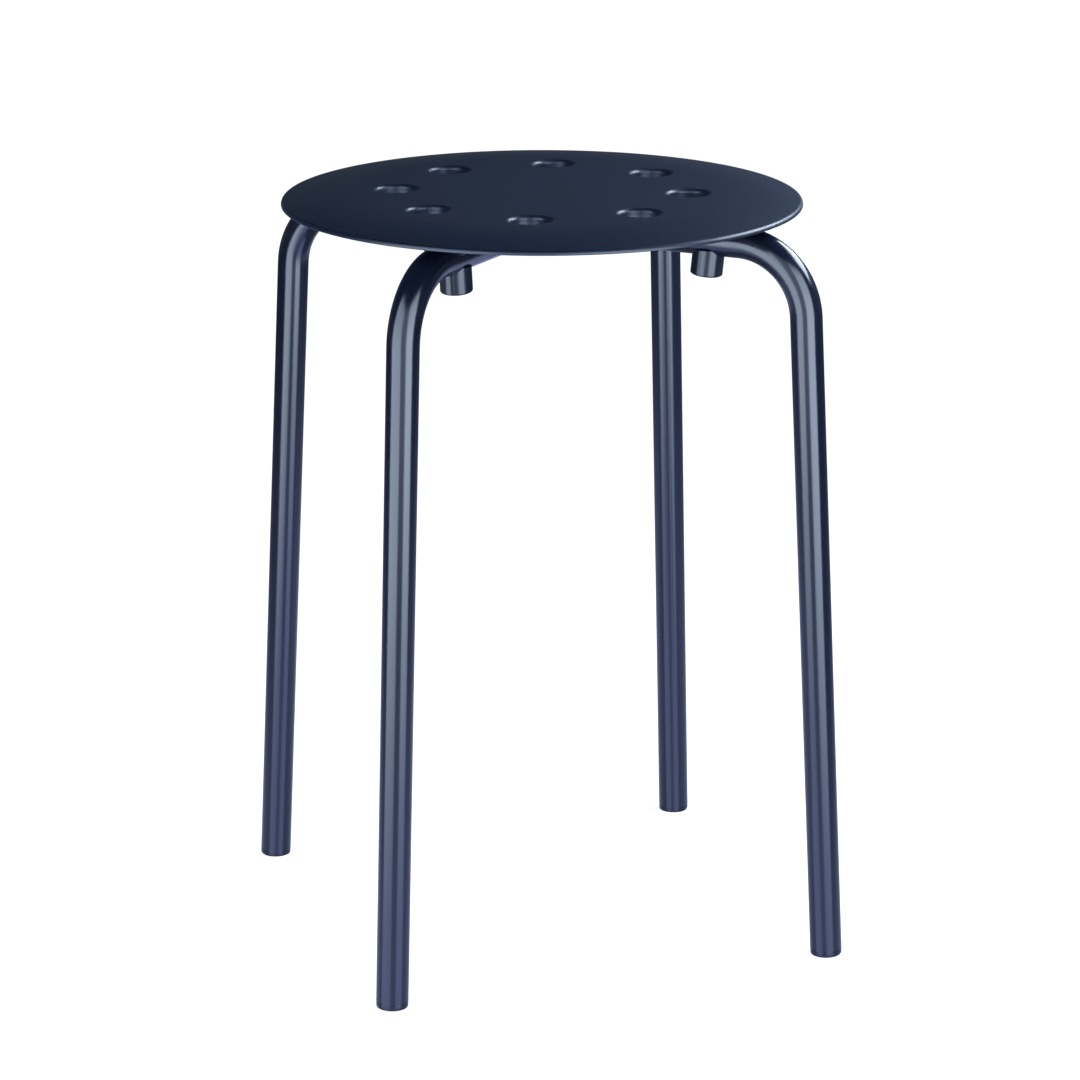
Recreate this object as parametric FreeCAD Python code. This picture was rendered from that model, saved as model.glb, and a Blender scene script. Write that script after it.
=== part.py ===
import FreeCAD, Part
import math
import os

Vector = FreeCAD.Vector

# Stacking stool: a moulded round seat on two crossed tubes, each bent into a pair of legs.
# Millimetres. The origin is on the floor under the middle of the seat, and +Z points up.
# The upper tube lies along X and the lower tube along Y.

# Seat, moulded in one piece
stool_height = 450.0
seat_diameter = 310.0
flat_diameter = 210.0
crown_drop = 4.0
crown_steps = 3
edge_width = 2.3
edge_height = 2.2
edge_steps = 2
edge_band = 0.7
rim_width = 3.2
skin_thickness = 3.0

# Eight finger holes through collars, with eased top edges
hole_count = 8
hole_circle_diameter = 174.0
hole_bore = 24.0
hole_edge = 2.2
collar_wall = 2.4
collar_depth = 8.0

# Ribs under the seat
rib_thickness = 2.0
rib_depth = 6.0
rib_toe_length = 18.0
rib_end_margin = 7.0
hub_radius = 40.0

# Saddles under the seat, one over each half of a tube
saddle_width = 26.0
saddle_depth = 6.2
saddle_end_margin = 5.5
saddle_wrap = 5.5
saddle_fit = 0.3

# Bent tubes
tube_diameter = 19.0
tube_wall = 1.2
bend_radius = 43.0
bend_steps = 5
foot_circle_diameter = 385.0
leg_splay = 3.0

# Crossing, where each tube is pressed in to half its height
crossing_gap = 0.3
pressed_half_length = 11.5
pressed_slope = 37.0

# Stacking studs, as wide as the tube, which clamp it and carry the next stool in a stack
stud_drop = 11.5
stud_place = 108.5
stud_lean = 6.0
stud_wrap = 4.0
stud_fit = 0.2
counterbore_diameter = 10.8
counterbore_depth = 7.6

# Clamp screws, which form their own thread in the seat
screw_diameter = 4.8
screw_hole = 5.6
pilot_hole = 5.0
screw_reach = 6.2
screw_end_gap = 0.6
head_diameter = 9.6
head_height = 3.4
socket_across_flats = 3.0
socket_depth = 2.0

# Foot glides, plugged into the tube ends
glide_thickness = 3.2
spigot_length = 18.0
spigot_fin_thickness = 3.0
spigot_fit = 0.15

# Sizes that follow from those above
seat_radius = seat_diameter / 2.0
flat_radius = flat_diameter / 2.0
crown_radius = seat_radius - edge_width
edge_foot = stool_height - crown_drop - edge_height
rim_bottom = edge_foot - edge_band
rim_inside = seat_radius - rim_width
skin_underside = stool_height - skin_thickness
skin_middle = stool_height - skin_thickness / 2.0
rib_foot = skin_underside - rib_depth
rib_end = seat_radius - rib_end_margin
hole_circle_radius = hole_circle_diameter / 2.0
tube_radius = tube_diameter / 2.0
saddle_crown = skin_underside - saddle_depth
run_height = saddle_crown - saddle_fit - tube_radius
splay_angle = math.radians(leg_splay)
foot_radius = foot_circle_diameter / 2.0
corner_radius = foot_radius - run_height * math.tan(splay_angle)
bend_turn = 90.0 - leg_splay
bend_tangent = bend_radius * math.tan(math.radians(bend_turn) / 2.0)
bend_start = corner_radius - bend_tangent
saddle_outer_end = bend_start - saddle_end_margin
leg_up = Vector(-math.sin(splay_angle), 0.0, math.cos(splay_angle))
foot_point = Vector(foot_radius, 0.0, 0.0)
leg_length = run_height / math.cos(splay_angle) - bend_tangent - glide_thickness
tube_underside = run_height - tube_radius
stud_foot = tube_underside - stud_drop
counterbore_floor = stud_foot + counterbore_depth
screw_tip = saddle_crown + screw_reach

X_AXIS = Vector(1, 0, 0)
Y_AXIS = Vector(0, 1, 0)
Z_AXIS = Vector(0, 0, 1)
ORIGIN = Vector(0, 0, 0)


def turned(shape, degrees):
    """A copy of the shape, turned about the stool's axis."""
    copy = shape.copy()
    copy.rotate(ORIGIN, Z_AXIS, degrees)
    return copy


def fused(shapes):
    """The shapes as one solid without seams on shared faces."""
    return shapes[0].multiFuse(shapes[1:]).removeSplitter()


def cylinder(radius, low, high, place=0.0):
    """An upright cylinder between two heights, with its axis that far out along X."""
    return Part.makeCylinder(radius, high - low, Vector(place, 0, low))


# Seat

def seat_shell():
    """The skin, flat in the middle and falling to a thin rounded rim, turned about the stool's axis."""
    profile = [Vector(0, 0, stool_height)]
    for step in range(crown_steps):
        share = float(step) / crown_steps
        out = flat_radius + (crown_radius - flat_radius) * share
        profile.append(Vector(out, 0, stool_height - crown_drop * share ** 2))
    for step in range(edge_steps + 1):
        angle = 0.5 * math.pi * step / edge_steps
        out = crown_radius + edge_width * math.sin(angle)
        profile.append(Vector(out, 0, edge_foot + edge_height * math.cos(angle)))
    profile.append(Vector(seat_radius, 0, rim_bottom))
    profile.append(Vector(rim_inside, 0, rim_bottom))
    profile.append(Vector(flat_radius, 0, skin_underside))
    profile.append(Vector(0, 0, skin_underside))
    profile.append(profile[0])
    return Part.Face(Part.makePolygon(profile)).revolve(ORIGIN, Z_AXIS, 360)


def inside_skin(out):
    """A height between the top and the underside of the skin, at that distance from the axis."""
    fall = max(out - flat_radius, 0.0) / (crown_radius - flat_radius)
    return skin_middle - crown_drop * fall


def hub():
    """A ring round the crossing, from the saddles' height up into the skin."""
    inside = cylinder(hub_radius - rib_thickness, saddle_crown, skin_middle)
    return cylinder(hub_radius, saddle_crown, skin_middle).cut(inside)


def radial_rib(start):
    """A rib along +X from that distance to near the rim, where its foot rises into the skin."""
    corners = [(start, rib_foot), (rib_end - rib_toe_length, rib_foot), (rib_end, inside_skin(rib_end))]
    if start < flat_radius:
        corners.append((flat_radius, skin_middle))
    corners += [(start, inside_skin(start)), (start, rib_foot)]
    outline = Part.makePolygon([Vector(out, -rib_thickness / 2.0, height) for out, height in corners])
    return Part.Face(outline).extrude(Y_AXIS * rib_thickness)


def saddle():
    """A pad along +X that hugs the top of a tube's run."""
    base = Vector(hub_radius - rib_thickness, -saddle_width / 2.0, run_height + tube_radius - saddle_wrap)
    return Part.makeBox(saddle_outer_end - base.x, saddle_width, skin_middle - base.z, base)


def saddle_channel():
    """The room that the saddles leave for the run of one tube."""
    reach = saddle_outer_end + tube_radius
    start = Vector(-reach, 0, run_height)
    return Part.makeCylinder(tube_radius + saddle_fit, 2.0 * reach, start, X_AXIS)


def hole_collar():
    radius = hole_bore / 2.0 + collar_wall
    return cylinder(radius, stool_height - collar_depth, skin_middle, hole_circle_radius)


def hole_cutter():
    """A finger hole's bore, widened where the top edge is eased."""
    radius = hole_bore / 2.0
    bore = cylinder(radius, skin_underside - 2.0 * collar_depth, stool_height, hole_circle_radius)
    flare_foot = Vector(hole_circle_radius, 0, stool_height - hole_edge)
    return bore.fuse(Part.makeCone(radius, radius + hole_edge, hole_edge, flare_foot))


def pilot():
    return cylinder(pilot_hole / 2.0, run_height, screw_tip + screw_end_gap, stud_place)


def make_seat():
    parts = [seat_shell(), hub()]
    cutters = [saddle_channel(), turned(saddle_channel(), 90)]
    for number in range(hole_count):
        degrees = 360.0 / hole_count * (number + 0.5)
        parts.append(turned(radial_rib(hub_radius - rib_thickness / 2.0), degrees))
        parts.append(turned(hole_collar(), degrees))
        cutters.append(turned(hole_cutter(), degrees))
    for quarter in range(4):
        parts.append(turned(saddle(), 90 * quarter))
        parts.append(turned(radial_rib(saddle_outer_end - rib_thickness), 90 * quarter))
        cutters.append(turned(pilot(), 90 * quarter))
    return fused(parts).cut(cutters).removeSplitter()


# Bent tubes

def bend_path():
    """Places and downward angles along the +X half of a tube, from its middle to its foot."""
    centre = Vector(bend_start, 0, run_height - bend_radius)
    stations = [(Vector(0, 0, run_height), 0.0)]
    for step in range(bend_steps + 1):
        angle = bend_turn * step / bend_steps
        reach = Vector(math.sin(math.radians(angle)), 0, math.cos(math.radians(angle)))
        stations.append((centre + reach * bend_radius, angle))
    stations.append((stations[-1][0] - leg_up * leg_length, bend_turn))
    return stations


def bent_bar(radius):
    """A bar of that radius along the whole tube, before its crossing is pressed."""
    rings = []
    for place, angle in bend_path():
        along = Vector(math.cos(math.radians(angle)), 0, -math.sin(math.radians(angle)))
        rings.append(Part.Wire(Part.makeCircle(radius, place, along)))
    half = Part.makeLoft(rings, True, True)
    return half.fuse(half.mirror(ORIGIN, X_AXIS)).removeSplitter()


def pressing(side, wall):
    """The wedge that the press pushes in, grown by the wall; side 1 presses from below."""
    floor = run_height + side * (crossing_gap / 2.0 + wall)
    away = run_height - side * tube_diameter
    short = pressed_half_length + wall * math.tan(math.radians(pressed_slope) / 2.0)
    long = short + abs(floor - away) / math.tan(math.radians(pressed_slope))
    corners = []
    for along, height in ((-short, floor), (short, floor), (long, away), (-long, away), (-short, floor)):
        corners.append(Vector(along, -tube_diameter, height))
    return Part.Face(Part.makePolygon(corners)).extrude(Y_AXIS * 2.0 * tube_diameter)


def bent_tube(side):
    """A hollow tube bent into two legs; side is 1 where its middle keeps its top, -1 its bottom."""
    outside = bent_bar(tube_radius).cut(pressing(side, 0.0))
    cutters = [bent_bar(tube_radius - tube_wall).cut(pressing(side, tube_wall))]
    for place in (-stud_place, stud_place):
        low = run_height - tube_diameter
        cutters.append(cylinder(screw_hole / 2.0, low, run_height + tube_diameter, place))
    return outside.cut(cutters)


# Stacking studs and the screws that clamp them

def stacking_stud():
    """A stud under the tube on +X, coped to the tube and leaning in towards the middle at its foot."""
    lean = math.radians(stud_lean)
    up = Vector(math.sin(lean), 0, math.cos(lean))
    half_way = Vector(stud_place, 0, stud_foot + stud_drop / 2.0)
    foot = half_way - up * (stud_drop / 2.0 / up.z)
    rise = stud_drop + stud_wrap
    body = Part.makeCylinder(tube_radius, 2.0 * rise, foot, up)
    reach = 4.0 * tube_diameter
    start = Vector(stud_place - reach / 2.0, 0, run_height)
    tube = Part.makeCylinder(tube_radius + stud_fit, reach, start, X_AXIS)
    above = Part.makeBox(reach, reach, reach, Vector(start.x, -reach / 2.0, stud_foot + rise))
    counterbore = cylinder(counterbore_diameter / 2.0, stud_foot - rise, counterbore_floor, stud_place)
    clearance = cylinder(screw_hole / 2.0, stud_foot, run_height, stud_place)
    return body.cut([above, tube, counterbore, clearance])


def clamp_screw():
    """A screw with a hexagon socket, put up through the stud and the tube into the seat."""
    head_foot = counterbore_floor - head_height
    head = cylinder(head_diameter / 2.0, head_foot, counterbore_floor, stud_place)
    shank = cylinder(screw_diameter / 2.0, counterbore_floor, screw_tip, stud_place)
    corner = socket_across_flats / math.sqrt(3.0)
    corners = []
    for number in range(7):
        angle = math.radians(60.0 * number)
        corners.append(Vector(stud_place + corner * math.cos(angle), corner * math.sin(angle), head_foot))
    socket = Part.Face(Part.makePolygon(corners)).extrude(Z_AXIS * socket_depth)
    return fused([head, shank]).cut(socket)


# Foot glides

def foot_glide():
    """A plug in the tube's end on +X, with a finned spigot and a foot cut level with the floor."""
    below = tube_radius * math.tan(splay_angle)
    pieces = [Part.makeCylinder(tube_radius, glide_thickness + below, foot_point - leg_up * below, leg_up)]
    half = spigot_fin_thickness / 2.0
    tip = math.sqrt((tube_radius - tube_wall - spigot_fit) ** 2 - half ** 2)
    for length, width in ((tip, half), (half, tip)):
        base = Vector(-length, -width, -half)
        fin = Part.makeBox(2.0 * length, 2.0 * width, spigot_length + half, base)
        fin.rotate(ORIGIN, Y_AXIS, -leg_splay)
        fin.translate(foot_point + leg_up * glide_thickness)
        pieces.append(fin)
    corner = foot_point - Vector(2.0, 2.0, 1.0) * tube_radius
    below_floor = Part.makeBox(4.0 * tube_radius, 4.0 * tube_radius, tube_radius, corner)
    return fused(pieces).cut(below_floor)


def at_each_leg(shape):
    return [turned(shape, 90 * quarter) for quarter in range(4)]


def write(name, shapes):
    """One file for a sub-part, once each of its pieces is found to be one sound solid."""
    for shape in shapes:
        if not shape.isValid() or len(shape.Solids) != 1:
            raise ValueError(name + " is not made of sound solids")
    solids = [shape.Solids[0] for shape in shapes]
    whole = solids[0] if len(solids) == 1 else Part.makeCompound(solids)
    whole.exportStep("parts/" + name + ".step")
    print(name, len(solids), round(whole.Volume), "mm3")


def main():
    os.makedirs("parts", exist_ok=True)
    write("seat", [make_seat()])
    write("leg_tube_upper", [bent_tube(1)])
    write("leg_tube_lower", [turned(bent_tube(-1), 90)])
    for number, stud in enumerate(at_each_leg(stacking_stud()), start=1):
        write("stacking_stud_" + str(number), [stud])
    for number, glide in enumerate(at_each_leg(foot_glide()), start=1):
        write("foot_glide_" + str(number), [glide])
    write("clamp_screws", at_each_leg(clamp_screw()))


main()
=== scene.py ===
import math

import bmesh
import bpy
from mathutils import Matrix, Vector


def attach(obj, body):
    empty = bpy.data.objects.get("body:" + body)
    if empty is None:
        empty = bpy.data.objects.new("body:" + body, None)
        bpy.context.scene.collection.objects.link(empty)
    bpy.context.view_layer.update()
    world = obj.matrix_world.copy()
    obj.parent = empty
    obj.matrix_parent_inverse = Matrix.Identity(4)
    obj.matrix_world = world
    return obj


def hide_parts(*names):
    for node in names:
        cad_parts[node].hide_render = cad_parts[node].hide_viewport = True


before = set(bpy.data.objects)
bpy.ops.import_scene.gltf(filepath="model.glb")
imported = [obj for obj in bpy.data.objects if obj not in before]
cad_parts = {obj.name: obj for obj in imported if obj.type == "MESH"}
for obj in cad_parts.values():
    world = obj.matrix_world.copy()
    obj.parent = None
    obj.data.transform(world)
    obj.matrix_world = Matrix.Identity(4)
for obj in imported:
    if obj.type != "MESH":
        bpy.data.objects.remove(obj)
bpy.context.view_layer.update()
mm = 0.001
print("frame loaded")


# Helpers

# Metres within which points of a new mesh and points along a cut count as one, and the shortest edge kept
welding = {"fresh": 1e-7, "cut": 2e-6, "shortest": 1e-6}

# Sides of a turned form, by its size and by how near the eye comes to it
sidesOf = {"bore": 32, "small": 64, "medium": 96, "fine": 128, "seat": 256, "hexagon": 6}


def linear(hexText):
    channels = []
    for start in (0, 2, 4):
        value = int(hexText[start:start + 2], 16) / 255
        channels.append(value / 12.92 if value <= 0.04045 else ((value + 0.055) / 1.055) ** 2.4)
    return (*channels, 1.0)


def addNode(tree, kind, inputs=None, **settings):
    node = tree.nodes.new(kind)
    for name, value in settings.items():
        setattr(node, name, value)
    for name, value in (inputs or {}).items():
        if isinstance(value, bpy.types.NodeSocket):
            tree.links.new(value, node.inputs[name])
        else:
            node.inputs[name].default_value = value
    return node


def meshObject(name, mesh):
    obj = bpy.data.objects.new(name, mesh)
    bpy.context.scene.collection.objects.link(obj)
    return obj


def objectFromBmesh(name, work):
    bmesh.ops.remove_doubles(work, verts=work.verts, dist=welding["fresh"])
    bmesh.ops.recalc_face_normals(work, faces=work.faces)
    mesh = bpy.data.meshes.new(name)
    work.to_mesh(mesh)
    work.free()
    return meshObject(name, mesh)


# Makes a closed skin over rings with as many points each, in millimetres. A band of four-sided faces joins
# each ring to the next, and a flat face closes each end, or one more band where the rings loop.
def skinOver(name, rings, looped=False):
    work = bmesh.new()
    rings = [[work.verts.new((x * mm, y * mm, z * mm)) for x, y, z in ring] for ring in rings]
    for lower, upper in zip(rings, rings[1:] + rings[:1] if looped else rings[1:]):
        for step in range(len(lower)):
            after = (step + 1) % len(lower)
            work.faces.new((lower[step], lower[after], upper[after], upper[step]))
    if not looped:
        work.faces.new(rings[0])
        work.faces.new(rings[-1])
    return objectFromBmesh(name, work)


def ringPoint(radius, step, sides, height):
    angle = 2 * math.pi * step / sides
    return (radius * math.cos(angle), radius * math.sin(angle), height)


# Turns a profile of (radius, height) about Z.
def lathe(name, profile, sides, looped=False):
    rings = [[ringPoint(radius, step, sides, height) for step in range(sides)] for radius, height in profile]
    return skinOver(name, rings, looped)


# Pulls an outline of (y, z) along X.
def prism(name, outline, start, end):
    return skinOver(name, [[(x, y, z) for y, z in outline] for x in (start, end)])


# Gives an outline of (x, z) a half thickness along Y that may change with height.
def slab(name, outline, halfAt):
    return skinOver(name, [[(x, side * halfAt(z), z) for x, z in outline] for side in (-1, 1)])


# Points of a round from one direction to another, both in degrees.
def arc(centre, radius, fromAngle, toAngle, steps):
    points = []
    for step in range(steps + 1):
        angle = math.radians(fromAngle + (toAngle - fromAngle) * step / steps)
        points.append((centre[0] + radius * math.cos(angle), centre[1] + radius * math.sin(angle)))
    return points


def turned(axis, degrees):
    return Matrix.Rotation(math.radians(degrees), 4, axis)


def shifted(out, height=0.0):
    return Matrix.Translation((out * mm, 0, height * mm))


def moved(obj, matrix):
    obj.data.transform(matrix)
    obj.data.update()
    return obj


def baked(obj, name):
    graph = bpy.context.evaluated_depsgraph_get()
    graph.update()
    mesh = bpy.data.meshes.new_from_object(obj.evaluated_get(graph))
    mesh.name = name
    bpy.data.objects.remove(obj)
    return meshObject(name, mesh)


def joined(base, others, operation):
    for other in others:
        change = base.modifiers.new(operation.lower(), "BOOLEAN")
        change.operation = operation
        change.solver = "MANIFOLD"
        change.object = other
    result = baked(base, base.name)
    for other in others:
        bpy.data.objects.remove(other)
    return result


# Smooth where faces meet at less than the crease angle, sharp elsewhere, with large flat faces kept flat.
def shaded(obj, crease):
    work = bmesh.new()
    work.from_mesh(obj.data)
    bmesh.ops.remove_doubles(work, verts=work.verts, dist=welding["cut"])
    bmesh.ops.dissolve_degenerate(work, dist=welding["shortest"], edges=work.edges)
    openEdges = sum(1 for edge in work.edges if not edge.is_manifold)
    work.to_mesh(obj.data)
    work.free()
    obj.data.shade_smooth()
    obj.data.set_sharp_from_angle(angle=math.radians(crease))
    weighted = obj.modifiers.new("flatFaces", "WEIGHTED_NORMAL")
    weighted.keep_sharp = True
    result = baked(obj, obj.name)
    print("  ", result.name, len(result.data.polygons), "faces,", openEdges, "open edges")
    return result


def finished(obj, material, slotName, *nodes):
    obj.data.materials.clear()
    obj.data.materials.append(material)
    for face in obj.data.polygons:
        face.material_index = 0
    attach(obj, "root")
    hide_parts(*nodes)


def geometryTree(name, inputs):
    tree = bpy.data.node_groups.new(name, "GeometryNodeTree")
    tree.interface.new_socket("Geometry", in_out="INPUT", socket_type="NodeSocketGeometry")
    for label, kind, value in inputs:
        socket = tree.interface.new_socket(label, in_out="INPUT", socket_type=kind)
        if value is not None:
            socket.default_value = value
    tree.interface.new_socket("Geometry", in_out="OUTPUT", socket_type="NodeSocketGeometry")
    return tree


def applyTree(obj, tree, values, name):
    modifier = obj.modifiers.new(tree.name, "NODES")
    modifier.node_group = tree
    for item in tree.interface.items_tree:
        if item.in_out == "INPUT" and item.name in values:
            modifier[item.identifier] = values[item.name]
    return baked(obj, name)


def emptyMaterial(name):
    material = bpy.data.materials.new(name)
    material.use_nodes = True
    material.node_tree.nodes.clear()
    return material


# Camera: fitted to the seat's outline, its holes, the leg edges and the feet
cameraView = {
    "azimuth": -63.0,
    "distance": 2400.0,
    "height": 919.8,
    "pitch": 15.947,
    "turn": 0.028,
    "focalPixels": 4101.6,
    "imagePixels": 1080,
    "sensorWidth": 36.0,
    "clipEnd": 100.0,
}


def makeCamera(view):
    data = bpy.data.cameras.new("camera")
    data.sensor_width = view["sensorWidth"]
    data.lens = view["focalPixels"] / view["imagePixels"] * view["sensorWidth"]
    data.clip_end = view["clipEnd"]
    camera = bpy.data.objects.new("camera", data)
    bpy.context.scene.collection.objects.link(camera)
    angle = math.radians(view["azimuth"])
    reach = view["distance"] * mm
    camera.location = (reach * math.cos(angle), reach * math.sin(angle), view["height"] * mm)
    heading = angle + math.pi / 2 + math.radians(view["turn"])
    camera.rotation_euler = (math.radians(90 - view["pitch"]), 0, heading)
    bpy.context.scene.camera = camera


makeCamera(cameraView)
print("camera placed")


# Materials. The sizes of grain, flow and cloud and the height of the grain are in millimetres.

# Polypropylene, injection moulded against a spark-eroded tool: a fine even grain that spreads highlights.
# The real grain is about 0.2 mm; it is drawn at 0.9 mm so that it shows.
seatPlastic = {
    "deep": "162136",
    "pale": "1a2841",
    "roughness": 0.38,
    "roughnessSpread": 0.05,
    "ior": 1.49,
    "grain": 0.9,
    "grainHeight": 0.012,
    "flow": 70.0,
}

# Steel tube under polyester powder coat: smooth and tight, with a shallow orange peel.
tubeCoat = {
    "deep": "18213a",
    "pale": "1c2842",
    "roughness": 0.19,
    "roughnessSpread": 0.03,
    "ior": 1.55,
    "grain": 2.2,
    "grainHeight": 0.002,
    "flow": 90.0,
}

# Small mouldings in the same plastic against a smoother tool.
studPlastic = {
    "deep": "192537",
    "pale": "1c293c",
    "roughness": 0.24,
    "roughnessSpread": 0.04,
    "ior": 1.49,
    "grain": 0.7,
    "grainHeight": 0.008,
    "flow": 20.0,
}

# Zinc plate, clear passivated: a grey metal with a soft sheen and faint cloudy patches.
zincPlate = {"pale": "b9bdc2", "dull": "a2a8ae", "roughness": 0.34, "cloud": 3.0}


def plasticOrCoat(name, look):
    material = emptyMaterial(name)
    tree = material.node_tree
    place = addNode(tree, "ShaderNodeTexCoord").outputs["Object"]
    flow = addNode(tree, "ShaderNodeTexNoise", {
        "Vector": place, "Scale": 1 / (look["flow"] * mm), "Detail": 3.0, "Roughness": 0.5})
    colour = addNode(tree, "ShaderNodeMix", {
        "Factor": flow.outputs["Fac"], 6: linear(look["deep"]), 7: linear(look["pale"])}, data_type="RGBA")
    grain = addNode(tree, "ShaderNodeTexNoise", {
        "Vector": place, "Scale": 1 / (look["grain"] * mm), "Detail": 2.0, "Roughness": 0.55})
    gloss = addNode(tree, "ShaderNodeMapRange", {
        "Value": grain.outputs["Fac"],
        "From Min": 0.3, "From Max": 0.7,
        "To Min": look["roughness"] - look["roughnessSpread"],
        "To Max": look["roughness"] + look["roughnessSpread"]})
    bump = addNode(tree, "ShaderNodeBump", {
        "Height": grain.outputs["Fac"], "Strength": 1.0, "Distance": look["grainHeight"] * mm})
    shader = addNode(tree, "ShaderNodeBsdfPrincipled", {
        "Base Color": colour.outputs[2], "Roughness": gloss.outputs["Result"],
        "IOR": look["ior"], "Normal": bump.outputs["Normal"]})
    addNode(tree, "ShaderNodeOutputMaterial", {"Surface": shader.outputs["BSDF"]})
    return material


def platedSteel(name, look):
    material = emptyMaterial(name)
    tree = material.node_tree
    place = addNode(tree, "ShaderNodeTexCoord").outputs["Object"]
    cloud = addNode(tree, "ShaderNodeTexNoise", {
        "Vector": place, "Scale": 1 / (look["cloud"] * mm), "Detail": 4.0, "Roughness": 0.6})
    colour = addNode(tree, "ShaderNodeMix", {
        "Factor": cloud.outputs["Fac"], 6: linear(look["dull"]), 7: linear(look["pale"])}, data_type="RGBA")
    shader = addNode(tree, "ShaderNodeBsdfPrincipled", {
        "Base Color": colour.outputs[2], "Metallic": 1.0, "Roughness": look["roughness"]})
    addNode(tree, "ShaderNodeOutputMaterial", {"Surface": shader.outputs["BSDF"]})
    return material


polypropylene = plasticOrCoat("mouldedPolypropylene", seatPlastic)
powderCoat = plasticOrCoat("powderCoatedSteel", tubeCoat)
smoothPlastic = plasticOrCoat("smoothMouldedPolypropylene", studPlastic)
zincSteel = platedSteel("zincPlatedSteel", zincPlate)
print("materials made")


# Geometry trees

# Copies a piece round the stool's axis.
def makeRingTree():
    tree = geometryTree("ringOfPieces", [
        ("Count", "NodeSocketInt", 4),
        ("Start", "NodeSocketFloat", 0.0),
        ("Material", "NodeSocketMaterial", None)])
    start = addNode(tree, "NodeGroupInput").outputs
    line = addNode(tree, "GeometryNodeMeshLine", {"Count": start["Count"], "Offset": (0, 0, 0)})
    number = addNode(tree, "GeometryNodeInputIndex").outputs[0]
    step = addNode(tree, "ShaderNodeMath", {0: 2 * math.pi, 1: start["Count"]}, operation="DIVIDE")
    turn = addNode(tree, "ShaderNodeMath", {
        0: number, 1: step.outputs[0], 2: start["Start"]}, operation="MULTIPLY_ADD")
    rotation = addNode(tree, "ShaderNodeCombineXYZ", {"Z": turn.outputs[0]})
    placed = addNode(tree, "GeometryNodeInstanceOnPoints", {
        "Points": line.outputs["Mesh"], "Instance": start["Geometry"], "Rotation": rotation.outputs[0]})
    real = addNode(tree, "GeometryNodeRealizeInstances", {"Geometry": placed.outputs["Instances"]})
    dressed = addNode(tree, "GeometryNodeSetMaterial", {
        "Geometry": real.outputs["Geometry"], "Material": start["Material"]})
    addNode(tree, "NodeGroupOutput", {"Geometry": dressed.outputs["Geometry"]})
    return tree


# Sweeps a round tube along a line whose corners are rounded to the bender's radius.
def makeTubeTree():
    tree = geometryTree("bentTube", [
        ("Tube Radius", "NodeSocketFloat", 0.0095),
        ("Bend Radius", "NodeSocketFloat", 0.043),
        ("Bend Steps", "NodeSocketInt", 28),
        ("Station Gap", "NodeSocketFloat", 0.0025),
        ("Sides", "NodeSocketInt", 64),
        ("Material", "NodeSocketMaterial", None)])
    start = addNode(tree, "NodeGroupInput").outputs
    line = addNode(tree, "GeometryNodeMeshToCurve", {"Mesh": start["Geometry"]})
    bent = addNode(tree, "GeometryNodeFilletCurve", {
        "Curve": line.outputs["Curve"], "Count": start["Bend Steps"],
        "Radius": start["Bend Radius"]}, mode="POLY")
    even = addNode(tree, "GeometryNodeResampleCurve", {
        "Curve": bent.outputs["Curve"], "Length": start["Station Gap"]}, mode="LENGTH")
    ring = addNode(tree, "GeometryNodeCurvePrimitiveCircle", {
        "Resolution": start["Sides"], "Radius": start["Tube Radius"]})
    skin = addNode(tree, "GeometryNodeCurveToMesh", {
        "Curve": even.outputs["Curve"], "Profile Curve": ring.outputs["Curve"]})
    real = addNode(tree, "GeometryNodeRealizeInstances", {"Geometry": skin.outputs["Mesh"]})
    dressed = addNode(tree, "GeometryNodeSetMaterial", {
        "Geometry": real.outputs["Geometry"], "Material": start["Material"]})
    addNode(tree, "NodeGroupOutput", {"Geometry": dressed.outputs["Geometry"]})
    return tree


ringTree = makeRingTree()
tubeTree = makeTubeTree()


def ringOf(piece, count, startAngle, name, material):
    return applyTree(piece, ringTree, {
        "Count": count, "Start": math.radians(startAngle), "Material": material}, name)


# Where the pieces meet. Here and in each piece's dictionary, lengths and heights above the floor are in
# millimetres, radii and circles are from the stool's or the piece's own axis, and angles are in degrees.
shared = {
    "legs": 4,
    "runHeight": 431.0,
    "tubeRadius": 9.5,
    "footRadius": 192.5,
    "splay": 3.0,
    "screwCircle": 108.5,
    "screwHole": 2.8,
    "screwSeat": 417.6,
}


# Seat
seat = {
    "top": 450.0,
    "radius": 155.0,
    "flatRadius": 105.0,
    "crownRadius": 152.7,
    "crownDrop": 4.0,
    "crownSteps": 12,
    "edge": 2.3,
    "rimBottom": 443.1,
    "rimInside": 151.8,
    "rimEase": 0.4,
    "underside": 447.0,
    "skinMiddle": 448.5,
    "holes": 8,
    "holeCircle": 87.0,
    "holeRadius": 12.0,
    "holeRoll": 2.7,
    "rollLift": 0.004,  # ends the roll just above the flat top, so that the cutter doesn't graze it
    "collarWall": 2.4,
    "collarFoot": 442.0,
    "collarEdge": 0.5,
    "collarFillet": 1.5,
    "ribFoot": 441.0,
    "ribHalf": 0.9,
    "ribDraft": 0.25,
    "ribToe": 130.0,
    "ribToeRun": 2.0,
    "ribEase": 0.4,
    "ribEnd": 148.0,
    "hubRadius": 40.0,
    "hubWall": 2.0,
    "saddleHalf": 13.0,
    "saddleFoot": 435.0,
    "saddleEase": 1.5,
    "saddleEnd": 123.6,
    "channelRadius": 9.8,
    "channelPast": 9.0,  # how far each cutter runs past what it cuts
    "holePast": 10.0,
    "topPast": 2.0,
    "overlap": 2.0,  # how far pieces run into each other before they are joined
    "ribOverlap": 1.0,
    "pilotRadius": 2.5,
    "pilotTop": 447.6,
    "crease": 32.0,
}


def crownHeight(s, out):
    share = max(out - s["flatRadius"], 0) / (s["crownRadius"] - s["flatRadius"])
    return s["top"] - s["crownDrop"] * share * share


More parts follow.
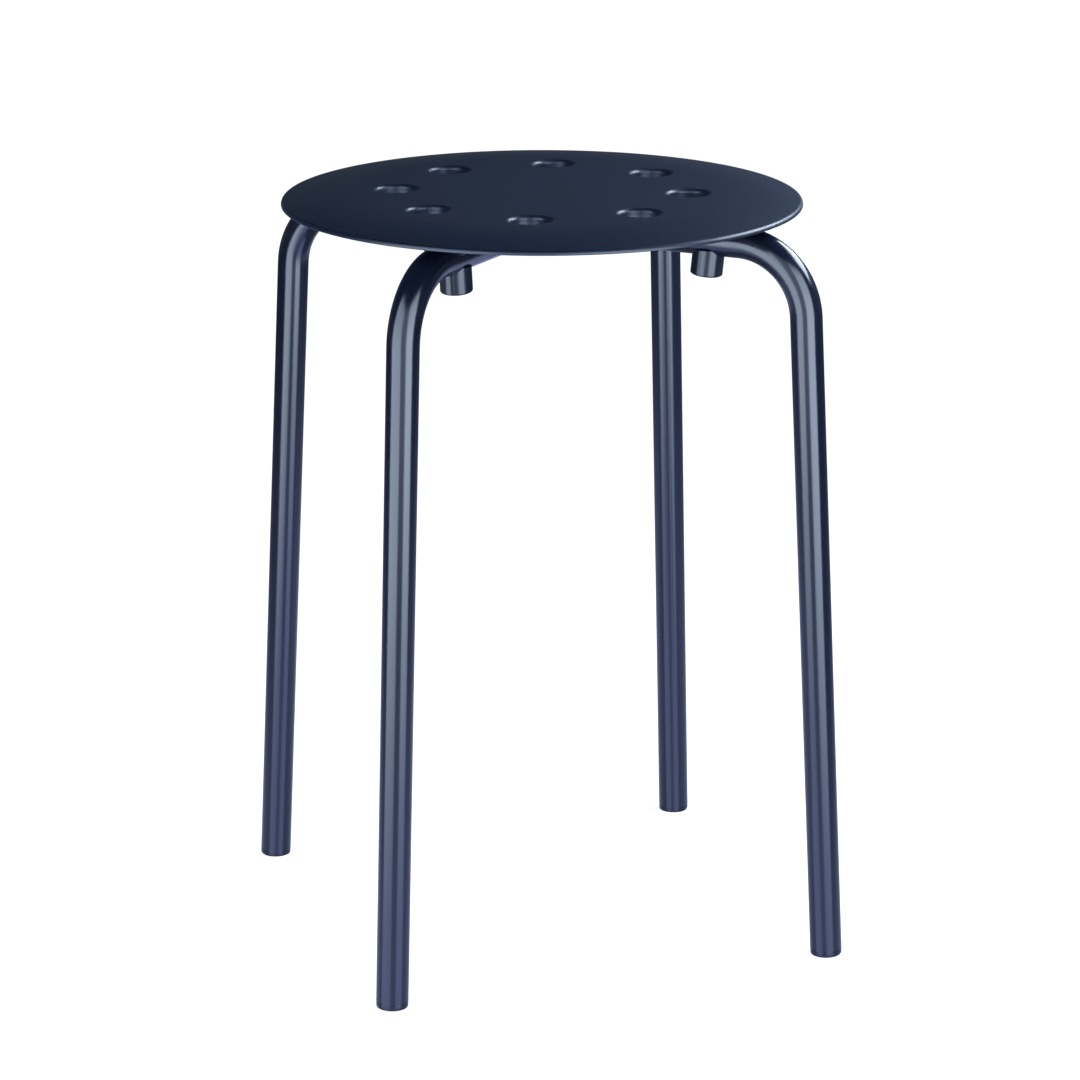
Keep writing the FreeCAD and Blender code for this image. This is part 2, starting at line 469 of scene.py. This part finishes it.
# A flat middle, a crown that falls to the rim, and an edge round that meets the crown without a crease.
def seatShell(s):
    slope = math.atan(2 * s["crownDrop"] / (s["crownRadius"] - s["flatRadius"]))
    crownEnd = s["radius"] - s["edge"] * (1 - math.sin(slope))
    middle = s["flatRadius"] * 0.5
    profile = [(middle, s["top"])]
    for step in range(s["crownSteps"] + 1):
        out = s["flatRadius"] + (crownEnd - s["flatRadius"]) * step / s["crownSteps"]
        profile.append((out, crownHeight(s, out)))
    edgeCentre = (s["radius"] - s["edge"], crownHeight(s, crownEnd) - s["edge"] * math.cos(slope))
    profile += arc(edgeCentre, s["edge"], 90 - math.degrees(slope), 0, steps=8)[1:]
    ease = s["rimEase"]
    profile += arc((s["radius"] - ease, s["rimBottom"] + ease), ease, 0, -90, steps=3)
    profile += arc((s["rimInside"] + ease, s["rimBottom"] + ease), ease, -90, -135, steps=2)
    profile += [(s["flatRadius"], s["underside"]), (middle, s["underside"])]
    return lathe("mouldedSeat", profile, sidesOf["seat"])


def insideSkin(s, out):
    fall = max(out - s["flatRadius"], 0) / (s["crownRadius"] - s["flatRadius"])
    return s["skinMiddle"] - s["crownDrop"] * fall


# A rib along +X, thinner at its foot, whose toe rises into the skin short of the rim.
def rib(s, start):
    foot = s["ribFoot"]
    outline = [
        (start, foot),
        (s["ribToe"], foot),
        (s["ribToe"] + s["ribToeRun"], foot + s["ribEase"]),
        (s["ribEnd"], insideSkin(s, s["ribEnd"]))]
    if start < s["flatRadius"]:
        outline.append((s["flatRadius"], s["skinMiddle"]))
    outline.append((start, insideSkin(s, start)))
    draft = s["ribDraft"] / (s["skinMiddle"] - foot)
    return slab("rib", outline, lambda height: s["ribHalf"] + draft * (height - foot))


def collar(s):
    outer = s["holeRadius"] + s["collarWall"]
    inner = s["holeRadius"] - s["overlap"]
    edge = s["collarEdge"]
    fillet = s["collarFillet"]
    profile = [(inner, s["collarFoot"]), (outer - edge, s["collarFoot"]), (outer, s["collarFoot"] + edge)]
    profile += arc((outer + fillet, s["underside"] - fillet), fillet, 180, 90, steps=5)
    profile += [(outer + fillet, s["skinMiddle"]), (inner, s["skinMiddle"])]
    return moved(lathe("collar", profile, sidesOf["small"], looped=True), shifted(s["holeCircle"]))


def holeCutter(s):
    roll = s["holeRoll"]
    radius = s["holeRadius"]
    rollFoot = s["top"] - roll
    profile = [(radius, s["collarFoot"] - s["holePast"])]
    profile += arc((radius + roll, rollFoot + s["rollLift"]), roll, 180, 90, steps=12)
    profile += [(radius + roll, s["top"] + s["topPast"])]
    return moved(lathe("holeCutter", profile, sidesOf["medium"]), shifted(s["holeCircle"]))


def saddle(s):
    half = s["saddleHalf"]
    ease = s["saddleEase"]
    outline = arc((half - ease, s["saddleFoot"] + ease), ease, 0, -90, steps=4)
    outline += arc((ease - half, s["saddleFoot"] + ease), ease, -90, -180, steps=4)
    outline += [(-half, s["skinMiddle"]), (half, s["skinMiddle"])]
    return prism("saddle", outline, s["hubRadius"] - s["hubWall"], s["saddleEnd"])


def hub(s, foot):
    inside = s["hubRadius"] - s["hubWall"]
    return lathe("hub", [
        (s["hubRadius"], s["skinMiddle"]), (s["hubRadius"], foot),
        (inside, foot), (inside, s["skinMiddle"])], sidesOf["medium"], looped=True)


# The two grooves of the saddles that the tubes lie in.
def channels(s, runHeight):
    radius = s["channelRadius"]
    reach = s["saddleEnd"] + s["channelPast"]
    cutters = []
    for turn in (0, 90):
        channel = lathe("channel", [(radius, -reach), (radius, reach)], sidesOf["medium"])
        cutters.append(moved(channel, turned("Z", turn) @ shifted(0, runHeight) @ turned("Y", 90)))
    return cutters


def makeSeat(s, meet):
    half = 180 / s["holes"]
    legs = meet["legs"]
    innerRib = rib(s, s["hubRadius"] - s["ribOverlap"])
    outerRib = rib(s, s["saddleEnd"] - s["overlap"])
    ribs = ringOf(innerRib, s["holes"], half, "ribs", polypropylene)
    outerRibs = ringOf(outerRib, legs, 0, "outerRibs", polypropylene)
    collars = ringOf(collar(s), s["holes"], half, "collars", polypropylene)
    saddles = ringOf(saddle(s), legs, 0, "saddles", polypropylene)
    hubRing = hub(s, meet["runHeight"] + s["channelRadius"])
    body = joined(seatShell(s), [saddles, hubRing, ribs, outerRibs, collars], "UNION")
    holes = ringOf(holeCutter(s), s["holes"], half, "holes", polypropylene)
    pilot = lathe("pilot", [
        (s["pilotRadius"], meet["runHeight"]), (s["pilotRadius"], s["pilotTop"])], sidesOf["bore"])
    moved(pilot, shifted(meet["screwCircle"]))
    pilots = ringOf(pilot, legs, 0, "pilots", polypropylene)
    cutters = [holes, *channels(s, meet["runHeight"]), pilots]
    return shaded(joined(body, cutters, "DIFFERENCE"), s["crease"])


finished(makeSeat(seat, shared), polypropylene, "seat_plastic", "seat")
print("seat made")


# Bent tubes
tube = {
    "wall": 1.2,
    "bend": 43.0,
    "bendSteps": 28,
    "stationGap": 2.5,
    "endLift": 3.2,
    "crossingGap": 0.3,
    "pressedHalf": 11.5,
    "pressedSlope": 37.0,
    "pressedSoftness": 1.6,
    "drillPast": 20.0,
    "crease": 40.0,
}


# The larger of two values, with a soft change from one to the other.
def smoothMax(a, b, width):
    mix = max(width - abs(a - b), 0) / width
    return max(a, b) + mix * mix * width / 4


def sweptTube(name, t, meet):
    splay = math.radians(meet["splay"])
    legUp = Vector((-math.sin(splay), 0, math.cos(splay)))
    run = meet["runHeight"]
    corner = meet["footRadius"] - run * math.tan(splay)
    end = Vector((meet["footRadius"], 0, 0)) + legUp * t["endLift"]
    points = [(-end.x, 0, end.z), (-corner, 0, run), (corner, 0, run), (end.x, 0, end.z)]
    mesh = bpy.data.meshes.new("centreline")
    mesh.from_pydata([Vector(p) * mm for p in points], [(0, 1), (1, 2), (2, 3)], [])
    return applyTree(meshObject("centreline", mesh), tubeTree, {
        "Tube Radius": meet["tubeRadius"] * mm, "Bend Radius": t["bend"] * mm,
        "Bend Steps": t["bendSteps"], "Station Gap": t["stationGap"] * mm,
        "Sides": sidesOf["small"], "Material": powderCoat}, name)


# The press pushes one half of the round in to a flat floor, which runs out up a slope on both sides.
def pressCrossing(skin, side, t, meet):
    run = meet["runHeight"]
    softness = t["pressedSoftness"]
    slope = math.tan(math.radians(t["pressedSlope"]))
    for vertex in skin.data.vertices:
        along = abs(vertex.co.x) / mm
        if along < t["pressedHalf"] + 3 * meet["tubeRadius"]:
            height = side * (vertex.co.z / mm - run)
            floor = t["crossingGap"] / 2 - slope * smoothMax(along - t["pressedHalf"], 0, softness)
            vertex.co.z = (run + side * smoothMax(height, floor, softness)) * mm


# Side is 1 for the tube pressed from below and -1 for the one pressed from above.
def makeTube(name, side, turn, t, meet):
    skin = sweptTube(name, t, meet)
    pressCrossing(skin, side, t, meet)
    wall = skin.modifiers.new("wall", "SOLIDIFY")
    wall.thickness = t["wall"] * mm
    wall.offset = -1
    wall.use_even_offset = True
    skin = baked(skin, name)
    drills = []
    for out in (-meet["screwCircle"], meet["screwCircle"]):
        drill = lathe("drill", [
            (meet["screwHole"], meet["runHeight"] - t["drillPast"]),
            (meet["screwHole"], meet["runHeight"] + t["drillPast"])], sidesOf["bore"])
        drills.append(moved(drill, shifted(out)))
    skin = joined(skin, drills, "DIFFERENCE")
    return shaded(moved(skin, turned("Z", turn)), t["crease"])


finished(makeTube("upperLegTube", 1, 0, tube, shared), powderCoat, "coated_tube", "leg_tube_upper")
finished(makeTube("lowerLegTube", -1, 90, tube, shared), powderCoat, "coated_tube", "leg_tube_lower")
print("tubes made")


# Stacking studs
stud = {
    "foot": 410.0,
    "drop": 11.5,
    "wrap": 4.0,
    "lean": 6.0,
    "edge": 1.1,
    "copeGap": 0.06,
    "counterbore": 5.4,
    "wellPast": 20.0,
    "cutFrom": 60.0,  # the block and the round that shape the stud's top run between these
    "cutTo": 160.0,
    "cutHalf": 40.0,
    "cutTop": 500.0,
    "crease": 35.0,
}


def makeStud(s, meet):
    radius = meet["tubeRadius"]
    lean = math.radians(s["lean"])
    middle = Vector((meet["screwCircle"], 0, s["foot"] + s["drop"] / 2))
    foot = middle - Vector((math.sin(lean), 0, math.cos(lean))) * (s["drop"] / 2 / math.cos(lean))
    rise = s["drop"] + s["wrap"]
    profile = arc((radius - s["edge"], s["edge"]), s["edge"], -90, 0, steps=6) + [(radius, 2 * rise)]
    body = lathe("stud", profile, sidesOf["medium"])
    moved(body, Matrix.Translation(foot * mm) @ turned("Y", s["lean"]))
    half = s["cutHalf"]
    top = prism("above", [
        (-half, s["foot"] + rise), (half, s["foot"] + rise),
        (half, s["cutTop"]), (-half, s["cutTop"])], s["cutFrom"], s["cutTo"])
    copeRadius = radius + s["copeGap"]
    cope = lathe("cope", [(copeRadius, s["cutFrom"]), (copeRadius, s["cutTo"])], sidesOf["fine"])
    moved(cope, shifted(0, meet["runHeight"]) @ turned("Y", 90))
    well = lathe("well", [
        (s["counterbore"], s["foot"] - s["wellPast"]),
        (s["counterbore"], meet["screwSeat"])], sidesOf["small"])
    hole = lathe("hole", [
        (meet["screwHole"], s["foot"]), (meet["screwHole"], meet["runHeight"])], sidesOf["bore"])
    for cutter in (well, hole):
        moved(cutter, shifted(meet["screwCircle"]))
    return shaded(joined(body, [top, cope, well, hole], "DIFFERENCE"), s["crease"])


# Gives each leg its own copy of a piece made for the leg along +X.
def atEachLeg(first, name, nodeName, material, slotName):
    legs = shared["legs"]
    for number in range(1, legs + 1):
        copy = meshObject(name + str(number), first.data.copy())
        moved(copy, turned("Z", 360 / legs * (number - 1)))
        finished(copy, material, slotName, nodeName + str(number))
    bpy.data.objects.remove(first)


atEachLeg(makeStud(stud, shared), "stackingStud", "stacking_stud_", smoothPlastic, "stud_plastic")
print("studs made")


# Foot glides
glide = {
    "radius": 9.4,
    "rise": 3.1,
    "edge": 1.7,
    "topEase": 0.35,
    "spigot": 18.0,
    "finHalf": 1.5,
    "finReach": 8.1,
    "finSink": 1.0,
    "finTaper": 1.5,
    "finEase": 0.7,
    "crease": 35.0,
}


# A disc under the tube's end and a cross of two fins inside it, cut level with the floor.
def makeGlide(g, meet):
    below = g["radius"] * math.tan(math.radians(meet["splay"]))
    edge = g["edge"]
    ease = g["topEase"]
    profile = arc((g["radius"] - edge, edge - below), edge, -90, 0, steps=8)
    profile += arc((g["radius"] - ease, g["rise"] - ease), ease, 0, 90, steps=3)
    disc = lathe("glide", profile, sidesOf["medium"])
    reach = g["finReach"]
    foot = g["rise"] - g["finSink"]
    tip = g["rise"] + g["spigot"]
    shoulder = tip - g["finTaper"]
    outline = [
        (-reach, foot), (reach, foot), (reach, shoulder),
        (reach - g["finEase"], tip), (g["finEase"] - reach, tip), (-reach, shoulder)]
    half = g["finHalf"]
    fins = [moved(prism("fin", outline, -half, half), turned("Z", turn)) for turn in (0, 90)]
    body = joined(disc, fins, "UNION")
    moved(body, shifted(meet["footRadius"]) @ turned("Y", -meet["splay"]))
    for vertex in body.data.vertices:
        vertex.co.z = max(vertex.co.z, 0)
    return shaded(body, g["crease"])


atEachLeg(makeGlide(glide, shared), "footGlide", "foot_glide_", smoothPlastic, "glide_plastic")
print("glides made")


# Clamp screws
screw = {
    "headFoot": 414.2,
    "headRadius": 4.8,
    "headEdge": 1.3,
    "shankRadius": 2.4,
    "plainRadius": 2.3,
    "coreRadius": 1.95,
    "threadStart": 424.0,
    "tip": 447.0,
    "tipRadius": 0.6,
    "tipSlope": 1.1,
    "pitch": 1.8,
    "rowsPerTurn": 8,
    "ridgeSharpness": 2.2,
    "shankSink": 0.5,
    "socketFlats": 3.0,
    "socketDepth": 2.0,
    "socketPast": 1.0,
    "crease": 40.0,
}


# A grid wrapped round the axis, whose radius follows the thread's ridge.
def threadedShank(s, headTop):
    sides = sidesOf["bore"]
    gap = s["pitch"] / s["rowsPerTurn"]
    rows = int((s["tip"] - headTop + s["shankSink"]) / gap)
    rings = []
    for row in range(rows + 1):
        height = headTop - s["shankSink"] + row * gap
        rings.append([])
        for step in range(sides):
            phase = (height / s["pitch"] - step / sides) % 1.0
            ridge = 1 - abs(2 * phase - 1)
            share = min(1, s["ridgeSharpness"] * ridge * ridge)
            radius = s["coreRadius"] + (s["shankRadius"] - s["coreRadius"]) * share
            if height < s["threadStart"]:
                radius = s["plainRadius"]
            radius = min(radius, s["tipRadius"] + s["tipSlope"] * (s["tip"] - height))
            rings[-1].append(ringPoint(radius, step, sides, height))
    return skinOver("shank", rings)


def makeScrews(s, meet):
    edge = s["headEdge"]
    profile = arc((s["headRadius"] - edge, s["headFoot"] + edge), edge, -90, 0, steps=6)
    profile += [(s["headRadius"], meet["screwSeat"])]
    head = lathe("clampScrew", profile, sidesOf["small"])
    body = joined(head, [threadedShank(s, meet["screwSeat"])], "UNION")
    corner = s["socketFlats"] / math.sqrt(3)
    socket = lathe("socket", [
        (corner, s["headFoot"] - s["socketPast"]),
        (corner, s["headFoot"] + s["socketDepth"])], sidesOf["hexagon"])
    body = joined(body, [socket], "DIFFERENCE")
    moved(body, shifted(meet["screwCircle"]))
    return shaded(ringOf(body, meet["legs"], 0, "clampScrews", zincSteel), s["crease"])


finished(makeScrews(screw, shared), zincSteel, "screw_steel", "clamp_screws")
print("screws made")


# Studio: pale floor and background, soft lamps, and panels that only reflections see, all in metres.
# A fade lists heights, each with the share of the level there and how much of the lower tint.
studio = {
    "floorHalf": 12.0,
    "floorColour": "f4f4f4",
    "floorGlow": 0.75,
    "upperTint": (0.70, 0.83, 1.0),
    "lowerTint": (0.41, 0.49, 1.0),
    "surroundRadius": 2.6,
    "surroundSides": 72,
    "surroundLevel": 1.0,
    "surroundFade": [
        (-3.0, 0.26, 0.3), (-1.7, 0.3, 0.3), (-1.1, 1.0, 0.6), (-0.75, 1.2, 0.7), (-0.45, 0.35, 0.7),
        (-0.1, 0.03, 0.5), (0.3, 0.17, 0.0), (0.8, 0.11, 0.0), (1.5, 0.015, 0.0), (7.0, 0.01, 0.0)],
    "skyLevel": 0.34,
    "aimHeight": 0.45,
}

# Upright panels. Ends are to the right of the stool's axis and towards the camera from it.
cards = [
    {"name": "leftCard", "ends": ((-0.6, 0.27), (-0.25, 0.85)), "level": 6.8, "fade": [
        (-1.0, 0.3, 0.9), (-0.4, 0.42, 0.9), (-0.22, 0.44, 0.8), (-0.1, 0.44, 0.6), (0.0, 0.62, 0.25),
        (0.1, 0.78, 0.0), (0.17, 1.0, 0.0), (0.36, 1.0, 0.0), (0.65, 0.8, 0.0), (0.88, 0.7, 0.0),
        (1.12, 0.0, 0.0)]},
    {"name": "middleCard", "ends": ((-0.25, 0.85), (0.2, 0.85)), "level": 1.0, "fade": [
        (-1.0, 1.5, 0.8), (-0.2, 1.4, 0.7), (0.1, 0.9, 0.2), (0.22, 1.8, 0.0), (0.88, 1.8, 0.0),
        (1.12, 0.0, 0.0)]},
    {"name": "rightCard", "ends": ((0.2, 0.85), (0.7, 0.49)), "level": 9.0, "fade": [
        (-1.0, 0.24, 0.9), (-0.3, 0.34, 0.9), (-0.2, 0.35, 0.8), (-0.1, 0.4, 0.5), (0.0, 0.55, 0.2),
        (0.1, 0.74, 0.0), (0.2, 1.0, 0.0), (0.4, 1.0, 0.0), (0.65, 0.8, 0.0), (0.88, 0.7, 0.0),
        (1.12, 0.0, 0.0)]},
]

# Angles in degrees from the camera's side of the stool, positive towards the right of the picture.
lamps = [
    {"name": "sideLamp", "kind": "AREA", "angle": 112, "rise": 30, "distance": 0.72,
     "size": 0.65, "tall": 0.3, "power": 8.5, "tint": (0.74, 0.87, 1.0),
     "aim": (0.0, 0.0), "reflected": True, "spread": False},
    {"name": "gradientLamp", "kind": "AREA", "angle": 106, "rise": 31, "distance": 0.72,
     "size": 0.6, "tall": 0.3, "power": 4.7, "tint": (0.95, 0.97, 1.0),
     "aim": (0.0, 0.0), "reflected": False, "spread": True},
    {"name": "frontLamp", "kind": "AREA", "angle": -30, "rise": 50, "distance": 2.4,
     "size": 1.6, "tall": 1.6, "power": 3.0, "tint": (1.0, 1.0, 1.0),
     "aim": (0.0, 0.0), "reflected": False, "spread": True},
    {"name": "poolLamp", "kind": "SPOT", "angle": 95, "rise": 62, "distance": 1.3,
     "size": 0.1, "cone": 16, "power": 24.0, "tint": (1.0, 1.0, 1.0),
     "aim": (0.12, -0.02), "reflected": False, "spread": True},
]


# A glow whose level and tint follow the height above the floor.
def fadingGlow(name, level, fade):
    material = emptyMaterial(name)
    tree = material.node_tree
    low, high = fade[0][0], fade[-1][0]
    place = addNode(tree, "ShaderNodeTexCoord").outputs["Object"]
    height = addNode(tree, "ShaderNodeSeparateXYZ", {"Vector": place}).outputs["Z"]
    along = addNode(tree, "ShaderNodeMapRange", {"Value": height, "From Min": low, "From Max": high})
    ramp = addNode(tree, "ShaderNodeValToRGB", {"Fac": along.outputs["Result"]})
    stops = ramp.color_ramp.elements
    for at, share, lower in fade:
        stop = stops[0] if at == low else stops[-1] if at == high else stops.new((at - low) / (high - low))
        tint = [(1 - lower) * a + lower * b for a, b in zip(studio["upperTint"], studio["lowerTint"])]
        stop.color = (*[share * channel for channel in tint], 1)
    glow = addNode(tree, "ShaderNodeEmission", {"Color": ramp.outputs["Color"], "Strength": level})
    addNode(tree, "ShaderNodeOutputMaterial", {"Surface": glow.outputs[0]})
    material.cycles.emission_sampling = "NONE"
    return material


# An upright wall along a line of (x, y), seen by reflections alone. A closed one has a floor and a roof.
def reflectedWall(name, line, level, fade, closed=False):
    low, high = fade[0][0], fade[-1][0]
    vertices = []
    faces = []
    for x, y in line:
        vertices += [(x, y, low), (x, y, high)]
    for step in range(1, len(line)):
        first = 2 * step
        faces.append((first - 2, first, first + 1, first - 1))
    if closed:
        faces += [[2 * step + end for step in range(len(line) - 1)] for end in (0, 1)]
    mesh = bpy.data.meshes.new(name)
    mesh.from_pydata(vertices, [], faces)
    mesh.materials.append(fadingGlow(name, level, fade))
    wall = meshObject(name, mesh)
    wall.visible_camera = False
    wall.visible_diffuse = False
    wall.visible_transmission = False
    wall.visible_shadow = False


# One for camera, glossy and transmission rays, and nought for the rays that light the stool.
def raysThatSee(tree, path):
    either = addNode(tree, "ShaderNodeMath", {
        0: path["Is Camera Ray"], 1: path["Is Glossy Ray"]}, operation="MAXIMUM")
    seen = addNode(tree, "ShaderNodeMath", {
        0: either.outputs[0], 1: path["Is Transmission Ray"]}, operation="MAXIMUM")
    return seen.outputs[0]


# White to the eye, matte to the light, and clear from below so that the underside can be looked at.
def makeFloor(s):
    work = bmesh.new()
    bmesh.ops.create_grid(work, x_segments=1, y_segments=1, size=s["floorHalf"])
    floor = objectFromBmesh("floor", work)
    material = emptyMaterial("paleFloor")
    tree = material.node_tree
    matte = addNode(tree, "ShaderNodeBsdfDiffuse", {"Color": linear(s["floorColour"])})
    white = addNode(tree, "ShaderNodeEmission", {"Color": (1, 1, 1, 1), "Strength": s["floorGlow"]})
    bright = addNode(tree, "ShaderNodeAddShader", {0: matte.outputs[0], 1: white.outputs[0]})
    path = addNode(tree, "ShaderNodeLightPath").outputs
    above = addNode(tree, "ShaderNodeMixShader", {
        0: raysThatSee(tree, path), 1: matte.outputs[0], 2: bright.outputs[0]})
    below = addNode(tree, "ShaderNodeMath", {
        0: addNode(tree, "ShaderNodeNewGeometry").outputs["Backfacing"],
        1: path["Is Camera Ray"]}, operation="MULTIPLY")
    clear = addNode(tree, "ShaderNodeBsdfTransparent")
    shown = addNode(tree, "ShaderNodeMixShader", {
        0: below.outputs[0], 1: above.outputs[0], 2: clear.outputs[0]})
    addNode(tree, "ShaderNodeOutputMaterial", {"Surface": shown.outputs[0]})
    floor.data.materials.append(material)
    floor.visible_glossy = False


def makeWorld(s):
    world = bpy.data.worlds.new("studioSky")
    bpy.context.scene.world = world
    world.use_nodes = True
    tree = world.node_tree
    tree.nodes.clear()
    path = addNode(tree, "ShaderNodeLightPath").outputs
    level = addNode(tree, "ShaderNodeMapRange", {
        "Value": raysThatSee(tree, path), "To Min": s["skyLevel"], "To Max": 1.0})
    sky = addNode(tree, "ShaderNodeBackground", {"Color": (1, 1, 1, 1), "Strength": level.outputs[0]})
    addNode(tree, "ShaderNodeOutputWorld", {"Surface": sky.outputs[0]})


# A place given to the right of the stool's axis and towards the camera from it.
def beside(right, forward, height=0.0):
    facing = math.radians(cameraView["azimuth"])
    return Vector((forward * math.cos(facing) - right * math.sin(facing),
                   forward * math.sin(facing) + right * math.cos(facing), height))


def makeLamp(lamp, aimHeight):
    angle = math.radians(lamp["angle"])
    rise = math.radians(lamp["rise"])
    towards = beside(math.sin(angle) * math.cos(rise), math.cos(angle) * math.cos(rise), math.sin(rise))
    place = towards * lamp["distance"]
    data = bpy.data.lights.new(lamp["name"], lamp["kind"])
    if lamp["kind"] == "SPOT":
        data.spot_size = math.radians(lamp["cone"])
        data.spot_blend = 1.0
        data.shadow_soft_size = lamp["size"]
    else:
        data.shape = "RECTANGLE"
        data.size = lamp["size"]
        data.size_y = lamp["tall"]
    data.energy = lamp["power"]
    data.color = lamp["tint"]
    obj = bpy.data.objects.new(lamp["name"], data)
    bpy.context.scene.collection.objects.link(obj)
    obj.location = beside(*lamp["aim"], aimHeight) + place
    obj.rotation_euler = (-place).to_track_quat("-Z", "Y").to_euler()
    obj.visible_camera = False
    obj.visible_glossy = lamp["reflected"]
    obj.visible_diffuse = lamp["spread"]


def makeStudio(s):
    makeFloor(s)
    makeWorld(s)
    circle = []
    for step in range(s["surroundSides"] + 1):
        angle = math.radians(360 * step / s["surroundSides"])
        circle.append((s["surroundRadius"] * math.cos(angle), s["surroundRadius"] * math.sin(angle)))
    reflectedWall("surround", circle, s["surroundLevel"], s["surroundFade"], closed=True)
    for card in cards:
        line = [beside(*end)[:2] for end in card["ends"]]
        reflectedWall(card["name"], line, card["level"], card["fade"])
    for lamp in lamps:
        makeLamp(lamp, s["aimHeight"])


makeStudio(studio)
bpy.context.scene.view_settings.view_transform = "Standard"
print("studio made")
